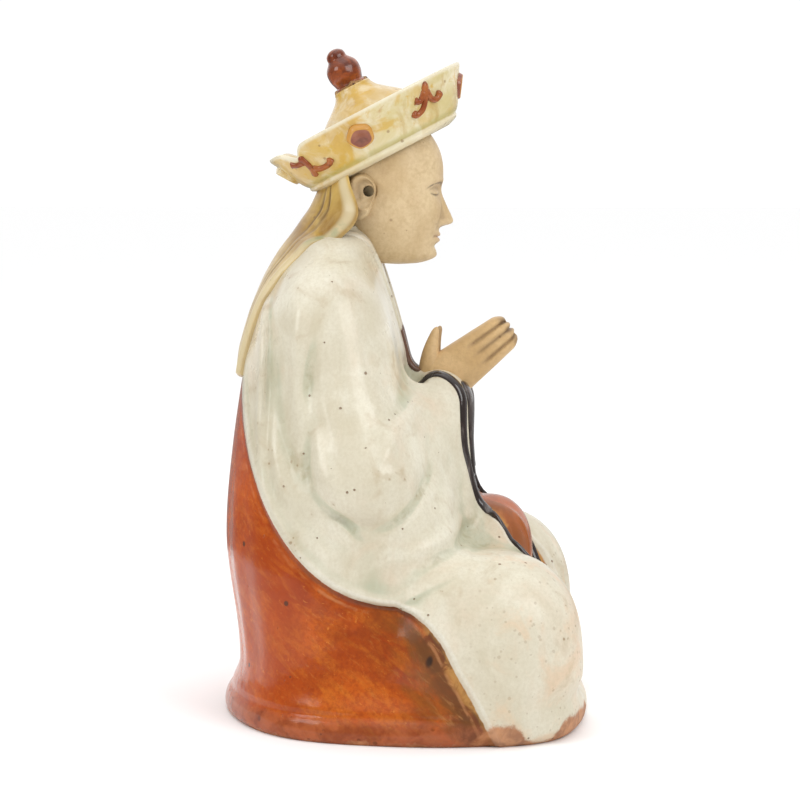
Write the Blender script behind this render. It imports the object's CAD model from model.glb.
import math
import bpy
import numpy as np
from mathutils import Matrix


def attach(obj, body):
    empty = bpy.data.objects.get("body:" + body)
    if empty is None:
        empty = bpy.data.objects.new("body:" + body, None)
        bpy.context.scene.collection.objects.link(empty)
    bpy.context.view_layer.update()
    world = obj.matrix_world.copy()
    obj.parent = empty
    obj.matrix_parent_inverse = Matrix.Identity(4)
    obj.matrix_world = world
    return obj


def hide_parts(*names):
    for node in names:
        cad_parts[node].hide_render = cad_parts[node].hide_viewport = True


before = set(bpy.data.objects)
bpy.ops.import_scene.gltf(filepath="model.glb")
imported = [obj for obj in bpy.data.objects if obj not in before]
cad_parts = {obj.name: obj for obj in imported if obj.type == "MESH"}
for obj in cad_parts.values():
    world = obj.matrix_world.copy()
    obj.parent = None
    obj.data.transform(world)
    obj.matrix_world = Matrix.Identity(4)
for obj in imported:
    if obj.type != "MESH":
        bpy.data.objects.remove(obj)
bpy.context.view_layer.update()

# Shapes are worked out in millimetres as (x, f, z), where f is forward, and the figure faces -Y.
metre = 0.001
sideNames = {-1: "right", 1: "left"}  # the figure's own right and left


def smooth(t, low, high):
    # 0 up to low, 1 from high on, a cubic step between
    s = np.clip((t - low) / (high - low), 0, 1)
    return s * s * (3 - 2 * s)


def bell(t):
    # exp(-t^2): 1 in the middle, falling away on both sides
    return np.exp(-t * t)


def mix(a, b, t):
    return a + (b - a) * t


def signedPower(t, power):
    # the size of t to a power, with t's own sign
    return np.sign(t) * np.abs(t) ** power


def fullTurn(count):
    # angles once round, evenly spread
    return 2 * np.pi * np.arange(count) / count


def within(t, start, full, fade, end):
    # rises from start to full, stays 1, falls from fade to end
    return smooth(t, start, full) * (1 - smooth(t, fade, end))


def along(stations, column, z):
    # cubic through the stations' values, each slope the chord between its two neighbours
    table = np.array(sorted(stations), float)
    zs, vs = table[:, 0], table[:, column]
    slopes = np.gradient(vs, zs)
    slopes[1:-1] = (vs[2:] - vs[:-2]) / (zs[2:] - zs[:-2])
    z = np.clip(z, zs[0], zs[-1])
    i = np.clip(np.searchsorted(zs, z, side="right") - 1, 0, len(zs) - 2)
    span = zs[i + 1] - zs[i]
    t = (z - zs[i]) / span
    step = (vs[i + 1] - vs[i]) * t * t * (3 - 2 * t)
    return vs[i] + step + span * t * (1 - t) * (slopes[i] * (1 - t) - slopes[i + 1] * t)


def curve(points, count):
    # Catmull-Rom run through the points: count places, evenly spread over the spans
    p = np.array(points, float)
    p = np.vstack([2 * p[0] - p[1], p, 2 * p[-1] - p[-2]])
    s = np.linspace(0, len(points) - 1, count)
    i = np.minimum(s.astype(int), len(points) - 2)
    t = (s - i)[:, None]
    a, b, c, d = p[i], p[i + 1], p[i + 2], p[i + 3]
    return 0.5 * (2 * b + (c - a) * t + (2 * a - 5 * b + 4 * c - d) * t**2 + (3 * b - a - 3 * c + d) * t**3)


def toPath(path, f, z):
    # distance, in the side view, to a line of straight pieces
    best = np.full(np.shape(f), 1e9)
    for (f0, z0), (f1, z1) in zip(path[:-1], path[1:]):
        uf, uz = f1 - f0, z1 - z0
        t = np.clip(((f - f0) * uf + (z - z0) * uz) / (uf * uf + uz * uz), 0, 1)
        best = np.minimum(best, np.hypot(f - f0 - t * uf, z - z0 - t * uz))
    return best


def gridNormals(grid):
    # cross product of the differences along the rows and round the columns
    around = np.roll(grid, -1, axis=1) - np.roll(grid, 1, axis=1)
    n = np.cross(around, np.gradient(grid, axis=0))
    return n / np.maximum(np.linalg.norm(n, axis=2, keepdims=True), 1e-9)


def hollows(grid, reach):
    # how far the neighbours at this reach stand out past each place: above 0 in a crease
    rows = np.pad(grid, ((reach, reach), (0, 0), (0, 0)), mode="edge")
    near = rows[2 * reach:] + rows[:-2 * reach] + np.roll(grid, reach, 1) + np.roll(grid, -reach, 1)
    return np.einsum("ijk,ijk->ij", near / 4 - grid, outward(grid))


def outward(grid):
    # normals turned so that they point away from the middle of each row
    n = gridNormals(grid)
    away = grid - grid.mean(axis=1, keepdims=True)
    return n * np.sign(np.sum(n * away))


def putSurface(name, grid, values=None, closed=True):
    # rows of places joined round; a closed surface gets a fan at each end, to that row's own middle
    rows, columns = grid.shape[:2]
    points = grid.reshape(-1, 3)
    ring = np.arange(columns)
    after = (ring + 1) % columns
    low = columns * np.arange(rows - 1)[:, None]
    high = low + columns
    quads = np.stack([low + ring, low + after, high + after, high + ring], -1).reshape(-1, 4)
    triangles = np.zeros((0, 3), int)
    if closed:
        tip, last = np.full(columns, len(points)), (rows - 1) * columns
        foot, top = np.stack([after, ring, tip], -1), np.stack([last + ring, last + after, tip + 1], -1)
        triangles = np.concatenate([foot, top])
        points = np.vstack([points, grid[0].mean(axis=0), grid[-1].mean(axis=0)])
    a, b, c = (points[triangles[:, n]] for n in range(3))
    p, q, r, t = (points[quads[:, n]] for n in range(4))
    volume = np.sum(np.cross(p, q) * r) + np.sum(np.cross(p, r) * t) + np.sum(np.cross(a, b) * c)
    if volume > 0:  # y = -f turns the faces round
        quads, triangles = quads[:, ::-1], triangles[:, ::-1]
    mesh = bpy.data.meshes.new(name)
    mesh.vertices.add(len(points))
    mesh.vertices.foreach_set("co", (points * (metre, -metre, metre)).ravel())
    corners = np.concatenate([quads.ravel(), triangles.ravel()]).astype(np.int32)
    mesh.loops.add(len(corners))
    mesh.loops.foreach_set("vertex_index", corners)
    starts = np.concatenate([4 * np.arange(len(quads)), 4 * len(quads) + 3 * np.arange(len(triangles))])
    mesh.polygons.add(len(starts))
    mesh.polygons.foreach_set("loop_start", starts.astype(np.int32))
    mesh.polygons.foreach_set("use_smooth", np.ones(len(starts), bool))
    for key, value in (values or {}).items():
        table = np.broadcast_to(value, (rows, columns))
        tips = [table[0].mean(), table[-1].mean()] if closed else []
        layer = mesh.attributes.new(key, "FLOAT", "POINT")
        layer.data.foreach_set("value", np.concatenate([table.ravel(), tips]).astype(np.float32))
    mesh.update(calc_edges=True)
    mesh.validate()
    piece = bpy.data.objects.new(name, mesh)
    bpy.context.scene.collection.objects.link(piece)
    return piece


def finishPiece(piece, material):
    # gives a piece its glaze, its body and its slot
    piece.data.materials.append(material)
    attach(piece, "root")


print("stage: helpers ready")


# Shader groups shared by the glazes

def newGroup(name, values, output):
    # a shader group that takes a place and some values and gives one number
    group = bpy.data.node_groups.new(name, "ShaderNodeTree")
    group.interface.new_socket("Vector", in_out="INPUT", socket_type="NodeSocketVector")
    for label, value in values.items():
        group.interface.new_socket(label, in_out="INPUT", socket_type="NodeSocketFloat").default_value = value
    group.interface.new_socket(output, in_out="OUTPUT", socket_type="NodeSocketFloat")
    s = Sheet(group)
    return group, s, s.node("NodeGroupInput").outputs, s.node("NodeGroupOutput").inputs[0]


class Sheet:
    # lays nodes on a node tree and joins them by name
    def __init__(self, tree):
        self.tree = tree
        self.column = 0

    def node(self, kind, **settings):
        made = self.tree.nodes.new(kind)
        self.column += 1
        made.location = (180 * self.column, -60 * (self.column % 5))
        for key, value in settings.items():
            setattr(made, key, value)
        return made

    def feed(self, socket, value):
        if isinstance(value, bpy.types.NodeSocket):
            self.tree.links.new(value, socket)
        else:
            socket.default_value = value

    def sum(self, operation, a, b):
        # one Math node, by the name of its operation
        made = self.node("ShaderNodeMath", operation=operation)
        for socket, value in zip(made.inputs, (a, b)):
            self.feed(socket, value)
        return made.outputs[0]

    def times(self, first, *others):
        for other in others:
            first = self.sum("MULTIPLY", first, other)
        return first

    def plus(self, first, *others):
        for other in others:
            first = self.sum("ADD", first, other)
        return first

    def ramp(self, value, low, high, toLow=0.0, toHigh=1.0):
        # a smooth step of a value
        made = self.node("ShaderNodeMapRange", interpolation_type="SMOOTHSTEP")
        for socket, v in zip(made.inputs, (value, low, high, toLow, toHigh)):
            self.feed(socket, v)
        return made.outputs[0]

    def blend(self, share, a, b):
        made = self.node("ShaderNodeMix", data_type="RGBA")
        for socket, v in ((made.inputs[0], share), (made.inputs[6], a), (made.inputs[7], b)):
            self.feed(socket, v)
        return made.outputs[2]

    def tint(self, colour, mask, strength, target):
        # draws a colour towards another where the mask is, as far as the strength
        return self.blend(self.times(mask, strength), colour, target)

    def noise(self, place, scale, detail=3.0, rough=0.55, warp=0.0):
        made = self.node("ShaderNodeTexNoise")
        given = {"Vector": place, "Scale": scale, "Detail": detail, "Roughness": rough, "Distortion": warp}
        for label, v in given.items():
            self.feed(made.inputs[label], v)
        return made.outputs["Fac"]

    def stretch(self, place, scale, turn=(0, 0, 0)):
        # turned first, then counted so many times a metre along each axis
        made = self.node("ShaderNodeMapping", vector_type="TEXTURE")
        for label, v in (("Vector", place), ("Rotation", turn), ("Scale", [1 / n for n in scale])):
            self.feed(made.inputs[label], v)
        return made.outputs[0]

    def value(self, name):
        return self.node("ShaderNodeAttribute", attribute_name=name).outputs["Fac"]

    def place(self):
        return self.node("ShaderNodeTexCoord").outputs["Object"]

    def axes(self, place):
        made = self.node("ShaderNodeSeparateXYZ")
        self.feed(made.inputs[0], place)
        return made.outputs

    def use(self, group, **inputs):
        made = self.node("ShaderNodeGroup", node_tree=group)
        for label, v in inputs.items():
            self.feed(made.inputs[label], v)
        return made.outputs[0]

    def cloud(self, place, scale, low, high):
        return self.use(clouds, Vector=place, Scale=scale, Low=low, High=high)

    def spots(self, place, scale, radius, share):
        return self.use(pinholes, Vector=place, Scale=scale, Radius=radius, Share=share)


def cloudGroup():
    # soft patches: fractal noise taken between two levels
    group, s, given, result = newGroup("softPatches", {"Scale": 40.0, "Low": 0.4, "High": 0.7}, "Mask")
    level = s.noise(given["Vector"], given["Scale"], 4.0, 0.6, 0.6)
    s.feed(result, s.ramp(level, given["Low"], given["High"]))
    return group


def pinholeGroup():
    # spots: near a random few of the points of a cell pattern
    group, s, given, result = newGroup("pinholes", {"Scale": 200.0, "Radius": 0.16, "Share": 0.1}, "Mask")
    cells = s.node("ShaderNodeTexVoronoi", feature="F1")
    for label in ("Vector", "Scale"):
        s.feed(cells.inputs[label], given[label])
    draw = s.node("ShaderNodeSeparateColor")
    s.feed(draw.inputs[0], cells.outputs["Color"])
    chosen = s.sum("LESS_THAN", draw.outputs[0], given["Share"])
    reach = s.times(given["Radius"], s.plus(s.times(draw.outputs[1], 0.9), 0.35))
    spot = s.ramp(s.sum("DIVIDE", cells.outputs["Distance"], reach), 0.55, 1.0, 1.0, 0.0)
    s.feed(result, s.times(spot, chosen))
    return group


def rippleGroup():
    # the fired skin of a glaze: slow swells and a fine orange-peel
    group, s, given, result = newGroup("glazeSkin", {}, "Height")
    slow, fine = (s.noise(given["Vector"], scale, 2.0, 0.5) for scale in (70.0, 420.0))
    s.feed(result, s.plus(slow, s.times(fine, 0.12)))
    return group


clouds, pinholes, ripples = cloudGroup(), pinholeGroup(), rippleGroup()
rippleDepth = 0.0006


def newMaterial(name, roughness, coat=0.0):
    # a Principled material with its own sheet
    material = bpy.data.materials.new(name)
    material.use_nodes = True
    s = Sheet(material.node_tree)
    shader = material.node_tree.nodes["Principled BSDF"]
    shader.inputs["Roughness"].default_value = roughness
    shader.inputs["IOR"].default_value = 1.4
    shader.inputs["Coat Weight"].default_value = coat
    shader.inputs["Coat Roughness"].default_value = 0.06
    return material, s, shader


def bumpInto(s, shader, height, distance):
    bump = s.node("ShaderNodeBump")
    bump.inputs["Distance"].default_value = distance
    bump.inputs["Strength"].default_value = 1.0
    s.feed(bump.inputs["Height"], height)
    s.feed(shader.inputs["Normal"], bump.outputs[0])


def finishGlaze(s, shader, place, colour, rough):
    # what every plain glaze ends with: its colour, its roughness and the ripples of the fired skin
    s.feed(shader.inputs["Base Color"], colour)
    s.feed(shader.inputs["Roughness"], rough)
    bumpInto(s, shader, s.use(ripples, Vector=place), rippleDepth)


print("stage: shader groups ready")


# Robe: soft forms joined like wet clay, with the drapery laid on as relief

robe = {
    "columns": 360, "rows": 270,
    # z, how far the back and the front reach, half the width
    "trunk": [
        (0, -64, 30, 69), (25, -62, 30, 64.5), (70, -66.8, 16, 60.5), (125, -61, 2.8, 50), (150, -54, -3.6, 47),
        (166, -46, -8.4, 37), (174, -40, -11, 30), (178.5, -36.5, -12.5, 24.5), (182.5, -31.5, -15.5, 14),
    ],
    "squareness": 2.3,
    "foot": {"depth": 67.6, "width": 72.5, "middle": 1.6, "swell": 0.15, "height": 8, "round": 6},
    "footBevel": {"inset": 1.8, "height": 1.4},
    "knee": {"x": 43, "f": 30, "z": 30, "halfX": 31, "halfF": 34.2, "halfZ": 38.5, "squareness": 2.5},
    "rightKnee": {"drop": 4.2, "ahead": 1.2, "from": (-4, 14)},  # the near knee sits lower and further out
    "lap": {"x": 0, "f": 32.4, "z": 59.4, "halfX": 23, "halfF": 16.6, "halfZ": 21.5, "squareness": 2.25},
    "shin": {"x": 34, "f": 43, "z": 18, "radius": 15},
    # x, f, z, radius
    "shoulder": (33, -27, 150, 16), "elbow": (45, -15, 92, 19), "wrist": (9, 12.5, 116, 10),
    "sleeveMiddle": (41, -7, 80, 17), "sleeveFoot": (40, 0, 68, 18),
    "sleeveFront": (11, 11, 100, 10), "sleeveTip": (12, 13.5, 84, 10),
    "bodyBlend": 14, "armBlend": 9, "footBlend": 14, "lapBlend": 9,
    # edges of the white cloth, in the side view
    "hem": {"f": -1, "z": 130, "halfF": 58.5, "halfZ": 81, "frontRise": 0.54},
    # z and f of the line where amber meets the knee
    "kneeHem": [
        (0, 34.9), (7.3, 31.2), (19.2, 25), (27.2, 20.2), (36.9, 15.4), (42.3, 10.6), (46.5, 4.8), (49.2, -1.5),
        (51, -3), (60, -3),
    ],
    "lapPanel": {
        "top": 90, "from": 22, "half": 10, "spread": 0.62, "most": 22, "foot": 18, "full": 46,
        "shut": 8, "shutFrom": 2, "shutTo": 6,  # closes the panel below its foot
    },
    # the line that the rays come from: upright to straight, over this share of the rows, then up to its top
    "core": {"straight": 78, "share": 0.46, "crowding": 1.12, "f": -2, "topZ": 126, "topF": -25, "lastRise": 89},
    "search": {"from": 112.0, "step": 2.5, "in": 6, "out": 9, "rounds": 15},
}

folds = {
    "side": (18, 34), "flank": (10, 20),  # how far from the middle the folds start and are full
    "cloth": {"thick": 1.3, "ease": 0.9},
    "overKnee": {"rise": 0.7, "inside": (-1, 1.5), "start": (-12, 0), "fade": (18, 34)},
    "rim": {"at": 1.6, "half": 1.0, "rise": 0.55},
    # its line climbs away from the hem, and a shallow groove runs beside it
    "backRidge": {
        "low": 2.6, "high": 9, "climb": (84, 132), "rise": 1.0, "half": 1.3, "back": (-32, -18),
        "heights": (78, 98, 150, 172), "grooveAt": 3.0, "grooveHalf": 1.6, "grooveShare": 0.7,
    },
    # a ring round the elbow, open above, with a full belly and an uneven crease
    "pouch": {
        "f": -11, "z": 100, "radius": 21, "bend": 0.9, "belly": 1.1, "swell": (-1, 10), "bellyTop": (104, 132),
        "crease": 1.8, "half": 2.6, "creaseAt": 0.4, "uneven": 0.28, "backArm": (126, 156), "frontArm": (102, 120),
    },
    # path in the side view, depth, half width, and the heights between which the crease shows
    "slant": {"path": [(-24, 86), (-13.4, 72)], "depth": 0.9, "half": 1.9, "heights": (71, 75, 80, 86)},
    "front": {"path": [(21, 100), (22, 80), (23.5, 64)], "depth": 1.1, "half": 1.9, "heights": (66, 74, 84, 99)},
    "elbow": {"path": [(-9, 146), (-4, 128), (1, 112)], "depth": 1.3, "half": 4.0, "heights": (112, 118, 134, 146)},
    "inner": {"path": [(8, 122), (0, 112.5), (-5, 102)], "depth": -1.0, "half": 2.4, "heights": (98, 108, 117, 124)},
    "sleeveRoll": {"f": 17.5, "half": 2.8, "rise": 0.7, "heights": (64, 74, 84, 102)},
    # waves, counted from the hem inwards
    "puddle": {"pitch": 8.5, "first": 3, "rise": 0.5, "inside": (1, 5, 12, 22), "ahead": (2, 14, 26, 36)},
    "sway": {
        "pitch": 15, "first": 8, "rise": 0.65,
        "inside": (3, 7, 26, 34), "back": (-24, -12), "heights": (76, 92, 150, 172),
    },
    "waist": {"z": 15, "half": 4.5, "depth": 1.6, "ahead": (40, 58)},
    "footGroove": {"z": 9.6, "half": 1.5, "depth": 0.55, "fade": (16, 34)},
    "parting": {"half": 2.2, "depth": 3.2, "ahead": (12, 20), "above": (82, 91)},
    # where the cuffs meet the chest
    "notch": {"f": 4, "z": 126.5, "depth": 5, "halfF": 5, "halfZ": 6, "across": (5, 9, 14, 21)},
    "lapRidge": {"x": 10.5, "half": 1.8, "rise": 0.9, "ahead": (26, 34), "heights": (30, 42, 70, 80)},
    "skirt": {"pitch": 17, "rise": 0.3, "outside": (3, 10), "heights": (10, 30, 70, 110)},
}


def softJoin(a, b, k):
    # the smaller of two distances, rounded over the width k
    h = np.maximum(k - np.abs(a - b), 0) / k
    return np.minimum(a, b) - h * h * k / 4


def toOval(x, f, z, oval):
    # super-ellipsoid: the p-norm of the shares of the half-sizes, less one
    p = oval["squareness"]
    axes = ((x, "x", "halfX"), (f, "f", "halfF"), (z, "z", "halfZ"))
    q = sum(np.abs((v - oval[middle]) / oval[half]) ** p for v, middle, half in axes)
    return (q ** (1 / p) - 1) * min(oval["halfX"], oval["halfF"], oval["halfZ"])


def toLimb(x, f, z, a, b):
    # distance to a straight bone whose radius changes evenly from end to end
    ux, uf, uz = b[0] - a[0], b[1] - a[1], b[2] - a[2]
    px, pf, pz = x - a[0], f - a[1], z - a[2]
    t = np.clip((px * ux + pf * uf + pz * uz) / (ux * ux + uf * uf + uz * uz), 0, 1)
    return np.sqrt((px - t * ux) ** 2 + (pf - t * uf) ** 2 + (pz - t * uz) ** 2) - mix(a[3], b[3], t)


def toTrunk(x, f, z):
    # a squarish oval at each height, its reach taken from the stations
    back, front, half = (along(robe["trunk"], n, z) for n in (1, 2, 3))
    depth = (front - back) / 2
    p = robe["squareness"]
    q = np.abs(x / half) ** p + np.abs((f - (front + back) / 2) / depth) ** p
    return np.maximum((q ** (1 / p) - 1) * np.minimum(half, depth), z - robe["trunk"][-1][0])


def toFoot(x, f, z):
    # an oval slab, wider towards the knees, its upper edge rounded
    foot = robe["foot"]
    ahead = (f - foot["middle"]) / foot["depth"]
    width = foot["width"] * (1 + foot["swell"] * np.clip(ahead, -1, 1))
    side = (np.hypot(x / width, ahead) - 1) * foot["depth"] + foot["round"]
    top = z - foot["height"] + foot["round"]
    return np.hypot(np.maximum(side, 0), np.maximum(top, 0)) + np.minimum(np.maximum(side, top), 0) - foot["round"]


def plainRobe(x, f, z):
    # every form joined softly, before the drapery
    shin, near = robe["shin"], robe["rightKnee"]
    right = smooth(-x, *near["from"])
    x = np.abs(x)
    knee = toOval(x, f - near["ahead"] * right, z + near["drop"] * right, robe["knee"])
    d = softJoin(toTrunk(x, f, z), knee, robe["bodyBlend"])
    crossed = np.sqrt(np.maximum(x - shin["x"], 0) ** 2 + (f - shin["f"]) ** 2 + (z - shin["z"]) ** 2)
    d = softJoin(d, crossed - shin["radius"], robe["bodyBlend"])
    d = softJoin(d, toOval(x, f, z, robe["lap"]), robe["lapBlend"])
    d = softJoin(d, toLimb(x, f, z, robe["shoulder"], robe["elbow"]), robe["armBlend"])
    sleeve = toLimb(x, f, z, robe["elbow"], robe["wrist"])
    for start, end in (("sleeveMiddle", "sleeveFront"), ("sleeveFoot", "sleeveTip"), ("wrist", "sleeveTip")):
        sleeve = softJoin(sleeve, toLimb(x, f, z, robe[start], robe[end]), robe["armBlend"])
    d = softJoin(d, sleeve, robe["armBlend"])
    return softJoin(d, toFoot(x, f, z), robe["footBlend"])


def insideSleeve(f, z):
    # how far inside the sleeve's hem, an ellipse behind and a rising line in front
    hem = robe["hem"]
    df = np.minimum(f - hem["f"], 0) / hem["halfF"]
    floor = hem["z"] - hem["halfZ"] + hem["frontRise"] * np.maximum(f - hem["f"], 0)
    dz = np.minimum(z - hem["z"], 0) / (hem["z"] - floor)
    return (1 - np.hypot(df, dz)) * hem["halfF"]


def insideWhite(x, f, z):
    # how far inside the white cloth, which is the sleeve or the knee, but not the lap panel
    lean = along(robe["kneeHem"], 1, z + 0.5) - along(robe["kneeHem"], 1, z - 0.5)
    knee = (f - along(robe["kneeHem"], 1, z)) / np.hypot(1, lean)
    panel = robe["lapPanel"]
    shut = panel["shut"] * (1 - smooth(z, panel["foot"] - panel["shutFrom"], panel["foot"] + panel["shutTo"]))
    lapHalf = np.clip(panel["half"] + panel["spread"] * (f - panel["from"]), 0, panel["most"])
    lapHalf = lapHalf * smooth(z, panel["foot"], panel["full"]) ** 0.5 - shut
    besideLap = np.maximum(np.abs(x) - lapHalf, np.maximum(panel["from"] - f, z - panel["top"]))
    return np.minimum(np.maximum(insideSleeve(f, z), knee), besideLap)


def drapery(x, f, z):
    # relief of the cloth: its edge, and each fold as a bell across its own line
    white, sleeve, across = insideWhite(x, f, z), insideSleeve(f, z), np.abs(x)
    side, flank = smooth(across, *folds["side"]), smooth(across, *folds["flank"])
    cloth, knee, rim = folds["cloth"], folds["overKnee"], folds["rim"]
    height = cloth["thick"] * smooth(white, -cloth["ease"], cloth["ease"])
    onKnee = smooth(sleeve, *knee["inside"]) * (1 - smooth(f, *knee["fade"])) * smooth(f, *knee["start"])
    height = height + knee["rise"] * onKnee * side
    height = height + rim["rise"] * bell((white - rim["at"]) / rim["half"]) * side
    ridge = folds["backRidge"]
    line = white - mix(ridge["low"], ridge["high"], smooth(z, *ridge["climb"]))
    onBack = within(z, *ridge["heights"]) * (1 - smooth(f, *ridge["back"])) * side
    groove = ridge["grooveShare"] * bell((line - ridge["grooveAt"]) / ridge["grooveHalf"])
    height = height + ridge["rise"] * onBack * (bell(line / ridge["half"]) - groove)
    pouch = folds["pouch"]
    bend = pouch["bend"] * np.sin(0.11 * f + 0.07 * z)
    below = np.hypot(f - pouch["f"], z - pouch["z"])
    off = np.where(z > pouch["z"], np.abs(f - pouch["f"]), below) - pouch["radius"] + bend
    height = height + side * pouch["belly"] * smooth(-off, *pouch["swell"]) * (1 - smooth(z, *pouch["bellyTop"]))
    arms = np.where(f < pouch["f"], 1 - smooth(z, *pouch["backArm"]), 1 - smooth(z, *pouch["frontArm"]))
    uneven = 1 - pouch["uneven"] + pouch["uneven"] * np.sin(0.19 * z - 0.23 * f)
    height = height - side * arms * pouch["crease"] * uneven * bell((off - pouch["creaseAt"]) / pouch["half"])
    for key in ("slant", "front", "elbow", "inner"):
        fold = folds[key]
        shown = within(z, *fold["heights"]) * flank
        height = height - fold["depth"] * bell(toPath(fold["path"], f, z) / fold["half"]) * shown
    roll, puddle, sway = folds["sleeveRoll"], folds["puddle"], folds["sway"]
    height = height + roll["rise"] * bell((f - roll["f"]) / roll["half"]) * within(z, *roll["heights"]) * flank
    low = within(sleeve, *puddle["inside"]) * within(f, *puddle["ahead"]) * side
    height = height + puddle["rise"] * low * np.cos(2 * np.pi * (sleeve - puddle["first"]) / puddle["pitch"])
    swept = within(white, *sway["inside"]) * (1 - smooth(f, *sway["back"])) * within(z, *sway["heights"]) * side
    height = height + sway["rise"] * swept * np.cos(2 * np.pi * (white - sway["first"]) / sway["pitch"])
    waist, groove, parting = folds["waist"], folds["footGroove"], folds["parting"]
    height = height - waist["depth"] * bell((z - waist["z"]) / waist["half"]) * smooth(f, *waist["ahead"])
    height = height - groove["depth"] * bell((z - groove["z"]) / groove["half"]) * (1 - smooth(f, *groove["fade"]))
    onChest = smooth(f, *parting["ahead"]) * smooth(z, *parting["above"])
    height = height - parting["depth"] * onChest * bell(x / parting["half"])
    notch, ridge, skirt = folds["notch"], folds["lapRidge"], folds["skirt"]
    dent = bell((f - notch["f"]) / notch["halfF"]) * bell((z - notch["z"]) / notch["halfZ"])
    height = height - notch["depth"] * dent * within(across, *notch["across"])
    onLap = smooth(f, *ridge["ahead"]) * within(z, *ridge["heights"])
    height = height + ridge["rise"] * bell((across - ridge["x"]) / ridge["half"]) * onLap
    waves = np.cos(2 * np.pi * x / skirt["pitch"])
    return height + skirt["rise"] * smooth(-white, *skirt["outside"]) * within(z, *skirt["heights"]) * waves


def toRobe(x, f, z):
    # the joined forms less the relief, drawn in a little at the very foot
    bevel = robe["footBevel"]
    return plainRobe(x, f, z) - drapery(x, f, z) + bevel["inset"] * np.exp(-z / bevel["height"])


def robeGrid():
    # rays out of a core line, level at first and then fanning up; the skin is the outermost crossing
    core = robe["core"]
    share = np.linspace(0, 1, robe["rows"])[:, None]
    turn = fullTurn(robe["columns"])[None, :]
    fan = np.clip((share - core["share"]) / (1 - core["share"]), 0, 1)
    upright = np.minimum(share / core["share"], 1) ** core["crowding"]
    z0 = core["straight"] * upright + (core["topZ"] - core["straight"]) * fan
    f0 = mix(core["f"], core["topF"], fan)
    rise = fan * np.radians(core["lastRise"])
    dx, df, dz = np.sin(turn) * np.cos(rise), np.cos(turn) * np.cos(rise), np.sin(rise) + 0 * turn

    def gap(r, skin):
        return skin(r * dx, f0 + r * df, z0 + r * dz)

    search = robe["search"]
    r = np.full(dx.shape, search["from"])
    seeking = np.ones(dx.shape, bool)
    while seeking.any():  # walks in to the plain forms
        r = np.where(seeking, r - search["step"], r)
        seeking = seeking & (gap(r, plainRobe) > 0) & (r > search["step"])
    low, high = r - search["in"], r + search["out"]
    for _ in range(search["rounds"]):  # then halves on to the draped skin
        middle = (low + high) / 2
        outside = gap(middle, toRobe) > 0
        low, high = np.where(outside, low, middle), np.where(outside, middle, high)
    r = (low + high) / 2
    return np.stack([r * dx, f0 + r * df, z0 + r * dz + 0 * r], -1)


def robeSlope(x, f, z, probe=0.05):
    # how far off the robe, and the slope of that, by a small step along each axis
    d = toRobe(x, f, z)
    steps = toRobe(x + probe, f, z), toRobe(x, f + probe, z), toRobe(x, f, z + probe)
    return d, np.stack([step - d for step in steps], -1) / probe


def toSkin(grid, rounds):
    # carries every place down the robe's own slope on to its skin, never far in one round
    for _ in range(rounds):
        d, slope = robeSlope(*np.moveaxis(grid, -1, 0))
        size = np.sqrt(np.maximum(np.sum(slope * slope, -1), 0.25))
        grid = grid - np.clip(d / size, -1.2, 1.2)[..., None] * slope / size[..., None]
    return grid


def evenOut(grid, rounds):
    # spreads the places over the skin: each goes to the middle of its four neighbours and back on to the skin
    for _ in range(rounds):
        for _ in range(6):
            middle = (grid[2:] + grid[:-2] + np.roll(grid, 1, 1)[1:-1] + np.roll(grid, -1, 1)[1:-1]) / 4
            grid = np.concatenate([grid[:1], mix(grid[1:-1], middle, 0.7), grid[-1:]])
        grid = np.concatenate([grid[:1], toSkin(grid[1:-1], 2), grid[-1:]])
    return np.concatenate([grid[:1], toSkin(grid[1:-1], 3), grid[-1:]])


def alongSkin(grid, value):
    # a value turned into millimetres on the skin: divided by how fast it changes there
    u = np.roll(grid, -1, 1) - np.roll(grid, 1, 1)
    v = 2 * np.gradient(grid, axis=0)
    du, dv = np.roll(value, -1, 1) - np.roll(value, 1, 1), 2 * np.gradient(value, axis=0)
    uu, uv, vv = np.sum(u * u, -1), np.sum(u * v, -1), np.sum(v * v, -1)
    square = (du * du * vv - 2 * du * dv * uv + dv * dv * uu) / np.maximum(uu * vv - uv * uv, 1e-6)
    return value / np.clip(np.sqrt(square), 0.25, 1.2)


def settle(points):
    # slides points along the robe's own slope until they lie on it; also gives the way out there
    x, f, z = np.array(points, float).T
    for _ in range(14):
        d, slope = robeSlope(x, f, z)
        step = d / np.maximum(np.sum(slope * slope, -1), 0.2)
        x, f, z = x - step * slope[:, 0], f - step * slope[:, 1], z - step * slope[:, 2]
    return np.stack([x, f, z], -1), slope / np.linalg.norm(slope, axis=1, keepdims=True)


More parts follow.
